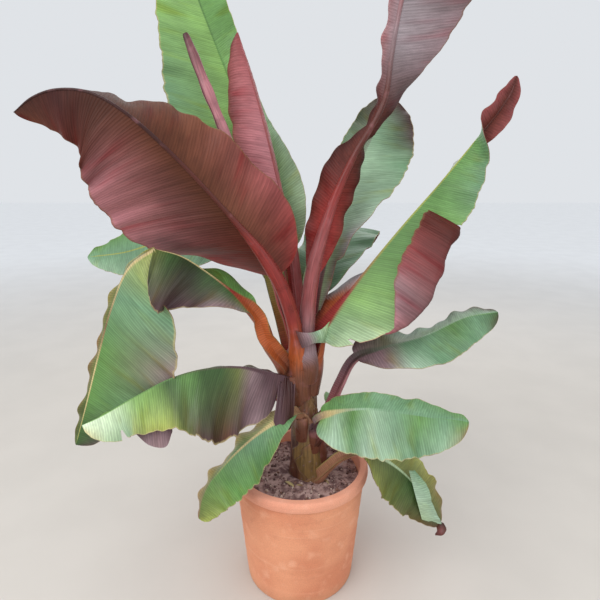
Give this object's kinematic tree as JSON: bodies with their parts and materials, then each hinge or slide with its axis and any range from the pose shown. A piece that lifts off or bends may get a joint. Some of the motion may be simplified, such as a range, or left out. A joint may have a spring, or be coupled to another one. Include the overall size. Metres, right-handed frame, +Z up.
{
  "type": "red banana plant in pot",
  "caption": "Red-leaved banana plant with a short sheathed trunk, tall wine-red and green paddle leaves, and a round terracotta pot filled with soil.",
  "frame": {"origin": "middle of the flat underside of the pot, on the ground", "axes": "+Z up along the pot's axis, +X to the right of the pictured view and +Y away from it"},
  "size_m": [1.4266, 1.0012, 2.1069],
  "materials": {
    "terracotta": "plain unglazed terracotta, matt, with faint throwing marks",
    "soil": "dark brown crumbly potting soil",
    "sheath": "overlapping red-brown leaf sheaths with olive patches",
    "leaf_wine": "satin wine-red underside of a banana leaf, fine side veins",
    "leaf_rose": "satin rose-pink young rolled leaf",
    "leaf_green": "satin green banana leaf with fine side veins and wine-red underside",
    "leaf_olive": "old olive-green banana leaf with dry margins"
  },
  "bodies": {
    "root": {"pot": "terracotta", "soil": "soil", "trunk": "sheath", "leaf_left_front_tall": "leaf_wine", "leaf_half_open": "leaf_rose", "leaf_spear": "leaf_rose", "leaf_back_left_tall": "leaf_green", "leaf_centre_tall": "leaf_wine", "leaf_back_right_tall": "leaf_green", "leaf_right_arching": "leaf_green", "leaf_right_middle": "leaf_green", "leaf_right_low": "leaf_green", "leaf_right_hanging": "leaf_olive", "leaf_left_low": "leaf_green", "leaf_left_middle": "leaf_green", "leaf_left_arching": "leaf_green", "leaf_left_arching_end": "leaf_green", "leaf_left_back": "leaf_green", "leaf_back_right_arching": "leaf_green", "leaf_back_left_low": "leaf_green", "leaf_back_right_low": "leaf_green", "leaf_back_middle": "leaf_green"}
  },
  "joints": []
}
